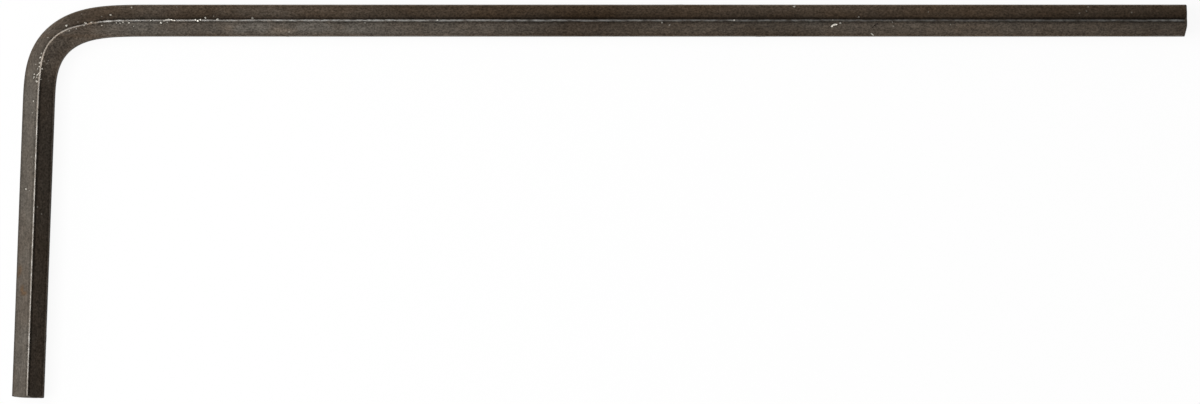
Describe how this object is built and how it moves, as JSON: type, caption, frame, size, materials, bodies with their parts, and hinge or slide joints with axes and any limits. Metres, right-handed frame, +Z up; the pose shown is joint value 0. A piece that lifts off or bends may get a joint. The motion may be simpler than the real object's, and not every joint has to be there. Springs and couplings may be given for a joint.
{
  "type": "hex key",
  "caption": "Small L-shaped steel hex key: a hexagonal bar with a long and a short arm, bent smoothly near one end, with sheared and chamfered tips.",
  "frame": {"origin": "under the middle of the key's box, on the surface that the lower ridge lies on", "axes": "+X along the long arm towards its tip, -Y towards the short arm's tip, +Z up, square to the plane of the L"},
  "size_m": [0.0326, 0.011, 0.001],
  "materials": {
    "oxide_steel": "worn dark brown-black oxide, satin, with bare steel showing along the ridges"
  },
  "bodies": {
    "root": {"hex_key": "oxide_steel"}
  },
  "joints": []
}
